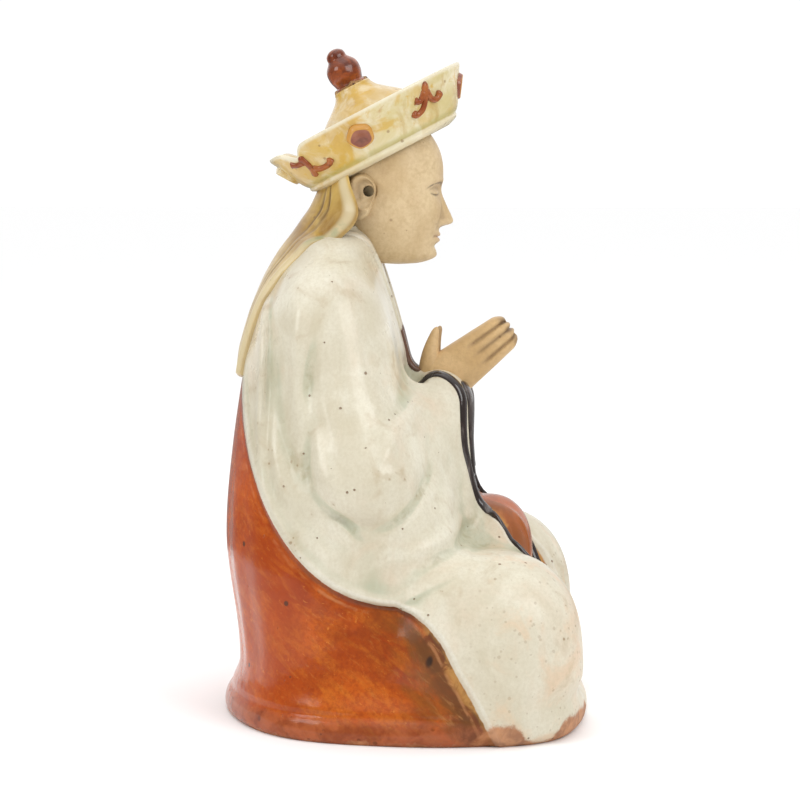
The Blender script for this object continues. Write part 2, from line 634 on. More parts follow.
def robeMaterial():
    # two glazes and bare clay, parted by the cloth attribute: millimetres inside the white
    material, s, shader = newMaterial("robeGlaze", 0.2)
    shader.inputs["IOR"].default_value = 1.33
    shader.inputs["Coat Roughness"].default_value = 0.1
    place = s.place()
    cloth, pool = s.value("cloth"), s.value("pool")
    axes = s.axes(place)
    height = axes[2]
    ahead = s.times(axes[1], -1.0)
    wobble = s.times(s.sum("SUBTRACT", s.noise(place, 170.0, 3.0), 0.5), 1.2)
    edge = s.plus(cloth, wobble)
    isWhite = s.ramp(edge, -0.3, 0.25)

    # white glaze: cream in streaks and peach patches, green where it pools, then dirt, stains and pinholes
    cream = s.blend(s.cloud(place, 34.0, 0.36, 0.66), (0.565, 0.51, 0.38, 1), (0.68, 0.64, 0.515, 1))
    streaks = s.cloud(s.stretch(place, (120.0, 120.0, 22.0)), 1.0, 0.45, 0.75)
    cream = s.tint(cream, streaks, 0.4, (0.71, 0.685, 0.58, 1))
    drawn = s.cloud(s.stretch(place, (260.0, 260.0, 38.0)), 1.0, 0.5, 0.74)
    cream = s.tint(cream, drawn, 0.3, (0.55, 0.46, 0.33, 1))
    peach = s.cloud(place, 26.0, 0.5, 0.74)
    cream = s.tint(cream, peach, 0.55, (0.63, 0.47, 0.33, 1))
    pooled = s.ramp(s.plus(pool, s.times(s.noise(place, 90.0, 3.0), 0.16)), 0.06, 0.6)
    pooled = s.times(pooled, s.cloud(place, 55.0, 0.3, 0.62))
    cream = s.tint(cream, pooled, 0.7, (0.43, 0.455, 0.33, 1))
    thin = s.ramp(s.times(pool, -1.0), 0.12, 0.5)
    cream = s.tint(cream, thin, 0.25, (0.7, 0.66, 0.55, 1))
    onKnee = s.times(s.ramp(ahead, 0.012, 0.04), s.ramp(height, 0.085, 0.06))
    kneePeach = s.cloud(place, 52.0, 0.5, 0.68)
    cream = s.tint(cream, s.times(kneePeach, onKnee), 0.6, (0.66, 0.47, 0.31, 1))
    kneeSpots = s.cloud(s.stretch(place, (95.0, 95.0, 80.0), (0.0, 0.4, 0.3)), 1.0, 0.54, 0.78)
    cream = s.tint(cream, s.times(kneeSpots, onKnee), 0.34, (0.7, 0.41, 0.2, 1))
    groove = s.times(s.ramp(edge, 2.9, 3.9), s.ramp(edge, 6.6, 4.8), s.cloud(place, 48.0, 0.3, 0.6))
    groove = s.times(groove, s.ramp(ahead, 0.012, -0.004))
    cream = s.tint(cream, groove, 0.4, (0.49, 0.5, 0.38, 1))
    rimLight = s.times(s.ramp(edge, 1.0, 1.8), s.ramp(edge, 3.2, 2.3))
    cream = s.tint(cream, rimLight, 0.4, (0.75, 0.73, 0.65, 1))
    behind = s.times(s.ramp(ahead, -0.022, -0.042), s.ramp(height, 0.155, 0.12), s.cloud(place, 42.0, 0.3, 0.6))
    cream = s.tint(cream, behind, 0.4, (0.48, 0.43, 0.3, 1))
    dirt = s.times(s.ramp(pool, 0.25, 0.9), s.cloud(place, 210.0, 0.4, 0.72))
    cream = s.tint(cream, dirt, 0.5, (0.3, 0.27, 0.15, 1))
    stained = s.cloud(place, 75.0, 0.56, 0.74)
    cream = s.tint(cream, stained, 0.5, (0.44, 0.34, 0.21, 1))
    grain = s.ramp(s.noise(place, 820.0, 3.0, 0.7), 0.38, 0.66)
    cream = s.tint(cream, grain, 0.24, (0.47, 0.41, 0.28, 1))
    fine = s.spots(place, 560.0, 0.4, 0.22)
    dirty = s.plus(s.times(stained, 0.75), s.times(onKnee, 0.3))
    cream = s.tint(cream, fine, dirty, (0.27, 0.17, 0.085, 1))
    specks = s.spots(place, 420.0, 0.26, 0.035)
    big = s.spots(place, 150.0, 0.1, 0.05)
    holes = s.sum("MAXIMUM", specks, big)
    cream = s.tint(cream, holes, 0.8, (0.2, 0.11, 0.055, 1))

    # amber glaze: orange-brown, streaked and mottled, dark where it gathers under the hem
    amber = s.blend(s.cloud(place, 30.0, 0.34, 0.68), (0.27, 0.036, 0.004, 1), (0.48, 0.094, 0.009, 1))
    lean = s.stretch(place, (110.0, 55.0, 210.0), (0.67, 0.0, 0.0))
    amber = s.tint(amber, s.cloud(lean, 1.0, 0.46, 0.68), 0.5, (0.54, 0.15, 0.016, 1))
    fine = s.stretch(place, (300.0, 150.0, 620.0), (0.72, 0.0, 0.0))
    amber = s.tint(amber, s.cloud(fine, 1.0, 0.56, 0.74), 0.32, (0.56, 0.22, 0.045, 1))
    nearKnee = s.times(s.ramp(ahead, -0.004, 0.012), s.ramp(cloth, -17.0, -5.0))
    dark = s.cloud(place, 62.0, 0.5, 0.6)
    amber = s.tint(amber, dark, s.plus(s.times(nearKnee, 0.75), 0.12), (0.13, 0.042, 0.012, 1))
    amberGrain = s.ramp(s.noise(place, 640.0, 4.0, 0.7), 0.4, 0.64)
    amber = s.tint(amber, amberGrain, 0.34, (0.19, 0.024, 0.004, 1))
    sparks = s.cloud(s.stretch(place, (420.0, 330.0, 560.0), (0.7, 0.0, 0.0)), 1.0, 0.62, 0.74)
    amber = s.tint(amber, sparks, 0.5, (0.68, 0.24, 0.035, 1))
    murk = s.times(s.ramp(cloth, -34.0, -8.0), s.ramp(ahead, -0.02, 0.008), s.cloud(lean, 0.8, 0.34, 0.62))
    amber = s.tint(amber, murk, 0.8, (0.18, 0.066, 0.012, 1))
    scuffs = s.times(nearKnee, s.cloud(fine, 0.7, 0.54, 0.66))
    amber = s.tint(amber, scuffs, 0.6, (0.5, 0.23, 0.075, 1))
    brownBand = s.times(s.ramp(cloth, -12.0, -7.0), s.ramp(cloth, -1.5, -4.0), s.ramp(ahead, -0.006, 0.008))
    brownBand = s.times(brownBand, s.cloud(place, 105.0, 0.3, 0.58))
    amber = s.tint(amber, brownBand, 0.8, (0.12, 0.04, 0.008, 1))
    pits = s.spots(s.stretch(place, (150.0, 170.0, 95.0), (0.3, 0.0, 0.0)), 1.0, 0.3, 0.5)
    amber = s.tint(amber, s.times(pits, nearKnee), 0.95, (0.02, 0.009, 0.005, 1))
    gathered = s.times(s.ramp(edge, -2.6, -0.9), s.cloud(place, 60.0, 0.2, 0.5))
    amber = s.tint(amber, gathered, 0.7, (0.09, 0.028, 0.008, 1))
    lit = s.times(s.ramp(edge, -4.4, -3.6), s.ramp(edge, -2.5, -3.3))
    lit = s.times(lit, s.cloud(place, 90.0, 0.42, 0.62))
    amber = s.tint(amber, lit, 0.45, (0.56, 0.25, 0.1, 1))
    amber = s.tint(amber, s.ramp(ahead, -0.024, -0.046), 0.3, (0.52, 0.08, 0.005, 1))
    lap = s.times(s.ramp(ahead, 0.016, 0.026), s.ramp(height, 0.03, 0.055))
    amber = s.tint(amber, lap, 0.45, (0.42, 0.12, 0.035, 1))
    rubbed = s.ramp(s.plus(height, s.times(s.noise(place, 120.0, 4.0, 0.65), 0.006)), 0.0125, 0.0095)
    worn = s.blend(s.cloud(place, 130.0, 0.36, 0.64), (0.16, 0.042, 0.018, 1), (0.37, 0.11, 0.046, 1))
    worn = s.blend(s.spots(place, 330.0, 0.36, 0.16), worn, (0.04, 0.018, 0.01, 1))
    amber = s.tint(amber, rubbed, 0.6, worn)
    tanEdge = s.times(s.ramp(ahead, 0.004, 0.014), s.ramp(s.plus(edge, s.times(dark, -2.5)), -4.5, -1.2))
    tanEdge = s.times(tanEdge, s.cloud(place, 150.0, 0.25, 0.55))
    amber = s.tint(amber, tanEdge, 0.8, (0.52, 0.27, 0.07, 1))
    amber = s.tint(amber, s.spots(place, 190.0, 0.22, 0.09), 0.85, (0.06, 0.025, 0.012, 1))

    colour = s.blend(isWhite, amber, cream)
    # bare clay along the foot, broken up by the glaze that ran over it
    inner = s.times(s.ramp(ahead, 0.022, 0.034), s.ramp(ahead, 0.05, 0.041))
    outer = s.times(s.ramp(ahead, 0.052, 0.062), s.ramp(s.sum("ABSOLUTE", axes[0], 0.0), 0.016, 0.032))
    reach = s.plus(s.times(inner, 0.0072), s.times(outer, 0.0082))
    ragged = s.times(s.sum("SUBTRACT", s.noise(place, 95.0, 5.0, 0.7), 0.42), 0.009)
    bare = s.ramp(s.sum("SUBTRACT", s.sum("SUBTRACT", height, reach), ragged), 0.0011, -0.0011)
    clay = s.blend(s.cloud(place, 170.0, 0.34, 0.66), (0.27, 0.088, 0.03, 1), (0.5, 0.215, 0.09, 1))
    clay = s.blend(s.spots(place, 420.0, 0.36, 0.12), clay, (0.07, 0.03, 0.016, 1))
    colour = s.tint(colour, bare, 0.85, clay)
    s.feed(shader.inputs["Base Color"], colour)
    dull = s.sum("MAXIMUM", bare, s.times(nearKnee, 0.7))
    rough = s.plus(s.times(dull, 0.4), s.times(s.noise(place, 120.0, 3.0), 0.14))
    s.feed(shader.inputs["Roughness"], s.plus(rough, s.plus(s.times(isWhite, 0.12), 0.1)))
    coat = s.plus(s.times(isWhite, 0.22), 0.06)
    s.feed(shader.inputs["Coat Weight"], s.times(s.sum("SUBTRACT", 1.0, bare), coat))
    dents = s.sum("SUBTRACT", s.use(ripples, Vector=place), s.times(holes, 0.5))
    bumpInto(s, shader, dents, rippleDepth)
    return material


robeSkin = evenOut(robeGrid(), 6)
robePool = 0.5 * hollows(robeSkin, 3) + 0.5 * hollows(robeSkin, 7)
robeCloth = alongSkin(robeSkin, insideWhite(*np.moveaxis(robeSkin, 2, 0)))
robePiece = putSurface("robe", robeSkin, {"cloth": robeCloth, "pool": robePool})
robeGlaze = robeMaterial()
finishPiece(robePiece, robeGlaze)
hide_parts("seated_figure")
print("stage: robe, faces", len(robePiece.data.polygons))


# Black edging: a low rounded band laid along guide points on the robe

edging = {
    "half": 2.1, "waver": 0.1, "rise": 1.35, "sink": 0.35, "around": 20, "count": 90, "evening": 8,
    # half widths at the two ends, and the shares of the run between which they change
    "lapelHalf": (4.2, 2.2), "lapelNarrows": (0.3, 0.9), "collarHalf": (0.5, 2.3), "collarWidens": (0, 0.8),
    "rollSize": {"half": 2.2, "rise": 1.1, "sink": 0.3},
    # guide points, for the left side
    "cuff": [
        (11.5, 2.4, 123.2), (12.5, 6.8, 126.8), (14, 13, 129.2), (15.5, 18.3, 127), (16.5, 22, 121.5),
        (17.5, 22.2, 116), (18.3, 21.6, 109), (18, 21.8, 101), (16.5, 23.5, 94.5), (15.5, 27.9, 82.5),
        (18, 33.7, 74.5), (21, 40.2, 67.5), (22.5, 47.9, 60.5), (22.5, 52, 46), (20.3, 56.5, 38),
        (16, 60, 31.5), (10.5, 62.5, 26), (5, 63.5, 22.3), (0, 64, 20.6),
    ],
    "lapel": [
        (9, 21, 124), (11, 24, 118), (11.5, 25, 110), (11.5, 25.2, 102), (11.5, 26, 94), (12.5, 28.5, 87),
        (14.5, 31, 81.5),
    ],
    "roll": [
        (12, -31, 181.5), (18, -25, 180.5), (17.5, -17, 178.5), (14, -12.5, 174), (10.5, -9.5, 166),
        (8.2, -7, 157), (7, -5, 149), (6.5, -3.5, 143),
    ],
    "collar": [
        (9, -8.5, 160), (7.4, -4.4, 151), (6.2, -1.6, 143), (5.2, 0.8, 136), (4.6, 2.8, 128.5), (4.4, 3.2, 123),
    ],
}


def band(path, normals, half, rise, sink, around):
    # an oval carried along the path: across it by the width, off the surface by the rise
    count = len(path)
    tangent = np.gradient(path, axis=0)
    tangent /= np.linalg.norm(tangent, axis=1, keepdims=True)
    across = np.cross(tangent, normals)
    across /= np.linalg.norm(across, axis=1, keepdims=True)
    up = np.cross(across, tangent)
    turn = fullTurn(around)[None, :, None]
    end = np.clip(np.minimum(np.arange(count), np.arange(count)[::-1]) / 3.0, 0, 1)[:, None, None] ** 0.5
    size = mix(0.25, 1.0, end)  # draws in at both ends
    sideways, off = np.cos(turn) * half * size, np.sin(turn) * rise * size - sink
    return path[:, None] + across[:, None] * sideways + up[:, None] * off


def blackMaterial(name, deep, worn, share):
    # dark glaze rubbed paler in upright streaks, with a little brown
    material, s, shader = newMaterial(name, 0.16, 0.5)
    place = s.place()
    wear = s.cloud(s.stretch(place, (260.0, 260.0, 55.0)), 1.0, 0.5, 0.78)
    colour = s.blend(s.times(wear, share), deep, worn)
    brown = s.cloud(place, 140.0, 0.5, 0.7)
    colour = s.tint(colour, brown, 0.3, (0.09, 0.035, 0.02, 1))
    finishGlaze(s, shader, place, colour, s.plus(s.times(wear, 0.25), 0.12))
    return material


blackGlaze = blackMaterial("blackGlaze", (0.022, 0.014, 0.012, 1), (0.2, 0.165, 0.15, 1), 0.6)
brownEdge = blackMaterial("brownEdge", (0.12, 0.06, 0.04, 1), (0.33, 0.24, 0.18, 1), 0.8)
run = np.linspace(0, 1, edging["count"])
widths = {
    "cuff": edging["half"] * (1 + edging["waver"] * np.sin(9 * run)),
    "lapel": mix(*edging["lapelHalf"], smooth(run, *edging["lapelNarrows"])),
    "collar": mix(*edging["collarHalf"], smooth(run, *edging["collarWidens"])),
}
for side, sideName in sideNames.items():
    for key, glaze in (("cuff", blackGlaze), ("lapel", blackGlaze), ("collar", brownEdge)):
        path, normals = settle(curve(edging[key], len(run)) * (side, 1, 1))
        for _ in range(edging["evening"]):  # evens out the settled line
            path[1:-1] = (path[:-2] + 2 * path[1:-1] + path[2:]) / 4
        path, normals = settle(path)
        half = widths[key][:, None, None]
        grid = band(path, normals, half, np.minimum(half, edging["rise"]), edging["sink"], edging["around"])
        finishPiece(putSurface(f"{key}Edging_{sideName}", grid), glaze)
    path, normals = settle(curve(edging["roll"], len(run)) * (side, 1, 1))
    grid = band(path, normals, around=edging["around"], **edging["rollSize"])
    piece = putSurface(f"collarRoll_{sideName}", grid, {"cloth": 20.0, "pool": 0.0})
    finishPiece(piece, robeGlaze)
print("stage: edging")


# Head and face

head = {
    "columns": 260, "rows": 220, "f": -5.6, "z": 197, "half": 28, "tilt": 3, "crowding": 0.55,
    # up as a share of half the height, then half the width and how far front and back reach
    "egg": [
        (-1, 2, 6, -2), (-0.97, 6, 12.6, -6), (-0.9, 9, 17.4, -10), (-0.8, 11.4, 18.7, -13.5),
        (-0.6, 14.4, 19.4, -17), (-0.4, 16.5, 20.2, -19.4), (-0.2, 17.8, 20.3, -20.8), (0, 18.5, 19.9, -21.4),
        (0.2, 18.6, 20.3, -21.4), (0.4, 18, 19.8, -20.6), (0.6, 16.3, 17.8, -18.6), (0.8, 12.4, 13.6, -14),
        (0.93, 7.4, 8.2, -8.2), (1, 1.5, 2, -1.5),
    ],
    # up, how far the nose stands out of the face and half its width
    "nose": [
        (-0.53, 0, 3.4), (-0.485, 0.25, 3.3), (-0.455, 1.5, 3.1), (-0.425, 3.9, 2.9), (-0.385, 4.7, 2.7),
        (-0.33, 4.1, 2.35), (-0.2, 2.2, 1.95), (-0.06, 0.7, 1.7), (0.05, 0.05, 1.9), (0.14, 0, 2.4),
    ],
    # across, up, half width, half height, rise
    "lumps": [
        (7.2, 0.15, 5.2, 0.05, 0.8), (7.6, 0.01, 4.9, 0.085, -2.1), (7.7, -0.012, 3.5, 0.05, 1.75),
        (9.8, -0.27, 5.0, 0.16, 0.8), (3.5, -0.405, 1.35, 0.04, 1.5), (0, -0.5, 0.9, 0.035, -0.35),
        (0, -0.735, 4.5, 0.04, -0.7), (0, -0.86, 5.5, 0.075, 1.0), (5.6, -0.6, 1.1, 0.03, -0.5),
        (5.2, -0.46, 1.2, 0.06, -0.4),
    ],
    "lips": {"up": -0.605, "half": 4.8, "upper": 0.95, "lower": 1.1, "parting": 0.75},
    "eye": {"x": 7.7, "half": 4.2, "lidLine": 0.4, "crease": 0.3},
    "brow": {"x": 7.8, "half": 6.2, "up": 0.125},
    "hole": {"f": -12.5, "z": 196.6, "radius": 1.95, "depth": 5.5},
    "neck": {"f": -21.5, "z": 150, "top": 192, "radius": 10.5},
}


def headGrid():
    # an egg by turn and height, its reach taken from the stations
    # nose, brow, eyes, lips and chin are bells on its front
    u = np.arange(head["columns"])[None, :] / head["columns"]
    v = (np.arange(head["rows"])[:, None] + 0.5) / head["rows"]
    turn = 2 * np.pi * u + head["crowding"] * np.sin(2 * np.pi * u)
    up = -np.cos(np.pi * v) + 0 * u
    wide, ahead, behind = (along(head["egg"], n, up) for n in (1, 2, 3))
    front = np.cos(turn) + 0 * v
    x = signedPower(np.sin(turn), 0.94) * wide
    f = np.where(front > 0, ahead * np.clip(front, 0, 1) ** 0.86, behind * np.clip(-front, 0, 1))
    across = np.abs(x)
    relief = along(head["nose"], 1, up) * bell(x / along(head["nose"], 2, up)) ** 0.9
    for at, high, half, tall, rise in head["lumps"]:
        relief += rise * bell((across - at) / half) * bell((up - high) / tall)
    lips, eye, brow = head["lips"], head["eye"], head["brow"]
    parting = lips["up"] - 0.008 * bell(x / 1.1) + 0.0007 * x * x
    mouth = bell(x / lips["half"]) ** 1.5
    upper, lower = bell((up - parting - 0.036) / 0.03), bell((up - parting + 0.042) / 0.036)
    relief += mouth * (lips["upper"] * upper + lips["lower"] * lower)
    relief -= lips["parting"] * bell((up - parting) / 0.012) * smooth(lips["half"] * 1.2 - across, 0, 1.6)
    lid = up + 0.048 - 0.0019 * (across - 7.6) ** 2
    onEye = smooth(eye["half"] - np.abs(across - eye["x"]), 0, 1.6)
    relief -= eye["lidLine"] * bell(lid / 0.011) * onEye
    relief -= eye["crease"] * bell((up - 0.06 + 0.0022 * (across - 7.4) ** 2) / 0.012) * onEye
    seen = smooth(front, 0.1, 0.35)
    f = f + relief * seen
    z = up * head["half"]
    lean = np.radians(head["tilt"])
    leaned = f * np.cos(lean) + z * np.sin(lean), z * np.cos(lean) - f * np.sin(lean)
    place = np.stack([x, head["f"] + leaned[0], head["z"] + leaned[1]], -1)
    # the ear holes, sunk into both sides
    hole = head["hole"]
    away = np.hypot(place[..., 1] - hole["f"], place[..., 2] - hole["z"]) - hole["radius"]
    place[..., 0] -= np.sign(x) * hole["depth"] * (1 - smooth(away, 0.5, 1.2)) * (across > 8)
    pit = (1 - smooth(away, 0.1, 0.8)) * (across > 8)
    # painted lines: brows, lashes, the lips' tint, their parting and the nostrils
    browLine = bell((up - brow["up"] + 0.0021 * (across - 7.0) ** 2) / 0.014)
    browLine = browLine * smooth(brow["half"] - np.abs(across - brow["x"]), 0, 2.6)
    lash = bell((lid - 0.006) / 0.011) * onEye
    paint = np.clip(np.maximum(browLine, lash), 0, 1) * seen
    nostril = bell((across - 2.0) / 0.9) * bell((up + 0.457) / 0.012)
    lines = np.clip(bell((up - parting) / 0.008) * mouth + nostril, 0, 1) * seen
    return place, paint, mouth * bell((up - parting) / 0.05) * seen, lines, pit


def biscuitMaterial(name, low, high, painted):
    # bare clay: patches, grain, blush, specks and grime, and on the head its painted lines
    material, s, shader = newMaterial(name, 0.5)
    place = s.place()
    colour = s.blend(s.cloud(place, 38.0, 0.32, 0.7), low, high)
    colour = s.tint(colour, s.cloud(place, 95.0, 0.54, 0.74), 0.45, (0.38, 0.24, 0.11, 1))
    grain = s.ramp(s.noise(place, 700.0, 3.0, 0.7), 0.4, 0.64)
    colour = s.tint(colour, grain, 0.22, (0.4, 0.25, 0.12, 1))
    blush = s.cloud(place, 30.0, 0.55, 0.75)
    colour = s.tint(colour, blush, 0.35, (0.58, 0.39, 0.23, 1))
    specks = s.spots(place, 420.0, 0.3, 0.07)
    colour = s.tint(colour, specks, 0.5, (0.26, 0.14, 0.065, 1))
    colour = s.tint(colour, s.value("grime"), 0.85, (0.11, 0.06, 0.03, 1))
    if painted:
        worn = s.ramp(s.noise(place, 420.0, 3.0), 0.3, 0.5)
        colour = s.tint(colour, s.times(s.value("paint"), worn), 0.85, (0.06, 0.035, 0.022, 1))
        colour = s.tint(colour, s.value("lip"), 0.4, (0.46, 0.19, 0.12, 1))
        colour = s.blend(s.value("hole"), colour, (0.01, 0.007, 0.005, 1))
        s.feed(shader.inputs["Metallic"], s.value("hole"))  # keeps the hole from shining
    s.feed(shader.inputs["Base Color"], colour)
    dull = s.plus(s.times(s.value("hole"), 0.5), 0.32) if painted else 0.32
    s.feed(shader.inputs["Roughness"], s.plus(s.times(s.noise(place, 160.0, 3.0), 0.25), dull))
    lumps = s.times(s.noise(place, 130.0, 2.0), 1.5)
    bumpInto(s, shader, s.plus(s.noise(place, 600.0, 4.0, 0.6), lumps), distance=0.00025)
    return material


headSkin, facePaint, lipTint, faceLines, earPit = headGrid()
faceBiscuit = biscuitMaterial("faceBiscuit", (0.53, 0.38, 0.2, 1), (0.67, 0.52, 0.31, 1), True)
headGrime = np.clip(0.3 * np.clip(hollows(headSkin, 4) / 0.35, 0, 1) + 0.6 * faceLines, 0, 1)
headPiece = putSurface("head", headSkin, {"hole": earPit, "paint": facePaint, "lip": lipTint, "grime": headGrime})
finishPiece(headPiece, faceBiscuit)
skinBiscuit = biscuitMaterial("skinBiscuit", (0.54, 0.35, 0.155, 1), (0.68, 0.47, 0.24, 1), False)


def neckGrid(rows=24, columns=64):
    # a column that spreads a little at its foot
    neck = head["neck"]
    v = np.linspace(0, 1, rows)[:, None]
    turn = fullTurn(columns)[None, :]
    radius = neck["radius"] * (1 + 0.1 * (1 - v) ** 2)
    height = mix(neck["z"], neck["top"], v) + 0 * turn
    return np.stack([radius * np.sin(turn), neck["f"] + radius * np.cos(turn), height], -1)


finishPiece(putSurface("neck", neckGrid(), {"grime": 0.0}), skinBiscuit)

ear = {
    "f": -14.8, "z": 195.6, "x": 16.4, "slant": 0.42, "holeShare": 0.4, "columns": 120, "rows": 110,
    # turn from the front, counted upwards, and how far the outline reaches
    "outline": [
        (0, 5.0), (45, 6.3), (90, 7.6), (135, 6.9), (180, 5.2), (225, 6.2), (255, 9.6), (275, 9.2), (305, 6.0),
        (330, 4.9), (360, 5.0),
    ],
    # share of the reach, and how far the surface stands off the head
    "section": [
        (0, -3.6), (0.3, -3.5), (0.37, -3.2), (0.4, 0.6), (0.5, 0.95), (0.62, 1.3), (0.74, 2.5), (0.84, 3.0),
        (0.93, 2.6), (1.0, 0.8), (1.02, -2.5),
    ],
}


def earGrid(side):
    # rings of the outline drawn in to the ear hole; the section gives bowl, rolled rim and lobe
    turn = fullTurn(ear["columns"])[None, :]
    share, rise = np.split(curve(ear["section"], ear["rows"]), 2, axis=1)
    reach = along(ear["outline"], 1, np.degrees(turn))
    hole, inner = head["hole"], ear["holeShare"]
    bowl = mix(hole["radius"], reach, (share - inner) / (ear["section"][-1][0] - inner))
    size = np.where(share < inner, hole["radius"] * share / inner, bowl)
    drawn = smooth(share, inner, 1.0)
    f = mix(hole["f"], ear["f"], drawn) + size * np.cos(turn)
    z = mix(hole["z"], ear["z"], drawn) + size * np.sin(turn)
    lobe = smooth(-np.sin(turn), 0.55, 0.95) * smooth(share, 0.42, 0.6) * (1 - smooth(share, 0.9, 1.0))
    out = rise + 0.9 * lobe * (1 - smooth(share, 0.74, 0.84)) + 0 * turn
    x = ear["x"] + ear["slant"] * (f - ear["f"]) + out
    dark = 1 - smooth(share, 0.395, 0.41) + 0 * turn
    grime = 0.25 * bell((share - 0.62) / 0.1) * (1 - lobe) + 0 * turn
    return np.stack([side * x, f, z], -1), dark, grime


for side, sideName in sideNames.items():
    earSkin, dark, grime = earGrid(side)
    piece = putSurface(f"ear_{sideName}", earSkin, {"hole": dark, "paint": 0.0, "lip": 0.0, "grime": grime})
    finishPiece(piece, faceBiscuit)
print("stage: head, neck and ears")


# Crown: flared band, cap and gourd knob about one leaning axis

crown = {
    "f": -5.9, "z": 209, "tilt": 27.5,
    "height": 19.4, "wall": 2.6, "flare": 0.62,
    "footX": 20.5, "footFront": 26, "footBack": 28, "rimX": 31.5, "rimFront": 39.8, "rimBack": 40.6,
    "notch": 141, "notchWidth": 7, "notchDepth": 4.5,
    "bead": {"height": 1.7, "rise": 0.9, "half": 1.1, "groove": 3.1, "grooveHalf": 0.7, "depth": 0.5},
    "lip": {"rise": 0.5, "half": 1.3, "below": 0.8},
    # height along the leaning axis, and radius
    "cap": [
        (3, 23), (9, 22.6), (14, 21.2), (18, 18.6), (21, 15.4), (24, 11.6), (26.4, 8.8), (28.2, 7.5),
        (29.4, 7.1), (29.8, 6.3), (29.8, 4),
    ],
    "knob": [
        (28.6, 4.4), (29.4, 5.9), (30.2, 6.1), (31, 5.4), (32, 5.6), (34, 6.25), (36.5, 6.4), (38.6, 5.8),
        (40.2, 4.5), (41.2, 3.75), (42.4, 3.65), (43.6, 3.2), (44.6, 1.9), (45, 0.5),
    ],
}


def onCrown(grid):
    # leans a shape made about the upright axis and sets it on the head
    lean = np.radians(crown["tilt"])
    x, f, b = np.moveaxis(grid, -1, 0)
    ahead, up = f * np.cos(lean) - b * np.sin(lean), b * np.cos(lean) + f * np.sin(lean)
    return np.stack([x, crown["f"] + ahead, crown["z"] + up], -1)


def bandReach(turn, height):
    # how far the band's outer face reaches sideways and to the front or back at a height
    share = np.maximum(height / crown["height"], 0) ** crown["flare"]
    ahead = np.cos(turn) > 0
    front, back = mix(crown["footFront"], crown["rimFront"], share), mix(crown["footBack"], crown["rimBack"], share)
    return mix(crown["footX"], crown["rimX"], share), np.where(ahead, front, back)


def onBand(turn, height, out):
    # a place on the band by its turn from the front, its height and how far it stands out
    rx, rf = bandReach(turn, height)
    return np.stack([np.sin(turn) * (rx + out), np.cos(turn) * (rf + out), height + 0 * turn], -1)


def bandTop(turn):
    # the rim's height, lowered by a bell at each of the two notches
    off = np.abs((np.degrees(turn) + 180) % 360 - 180)
    return crown["height"] - crown["notchDepth"] * bell((off - crown["notch"]) / crown["notchWidth"])


def bandGrid(columns=280, rows=64):
    # up the outer face, over a rounded lip and down the inner face, at every turn
    turn = fullTurn(columns)[None, :]
    loop = 2 * np.pi * np.arange(rows + 1)[:, None] / rows
    top = bandTop(turn)
    height = top * np.clip(0.5 - 0.54 * np.cos(loop), 0, 1)
    inner = crown["wall"] * np.clip(0.5 - 0.72 * np.sin(loop), 0, 1)
    outer = smooth(np.sin(loop), 0.0, 0.5)
    bead, lip = crown["bead"], crown["lip"]
    out = bead["rise"] * bell((height - bead["height"]) / bead["half"]) * outer
    out = out - bead["depth"] * bell((height - bead["groove"]) / bead["grooveHalf"]) * outer
    out = out + lip["rise"] * bell((height - top + lip["below"]) / lip["half"])
    out = out + 0.25 * np.sin(5 * turn + 1) * outer + 0.18 * np.sin(11 * turn) * smooth(height, 6, 16)
    return onBand(turn + 0 * loop, height, out - inner), top - height + 0 * turn, height + 8 * (1 - outer)


def turnedGrid(profile, columns, rows):
    # a profile of height and radius spun round the axis
    line = curve(profile, rows)
    turn = fullTurn(columns)[None, :]
    uneven = 1 + 0.012 * np.sin(3 * turn + 0.7) + 0.008 * np.sin(7 * turn)
    radius = np.maximum(line[:, 1], 0.05)[:, None] * uneven
    return np.stack([radius * np.sin(turn), radius * np.cos(turn), line[:, :1] + 0 * turn], -1)


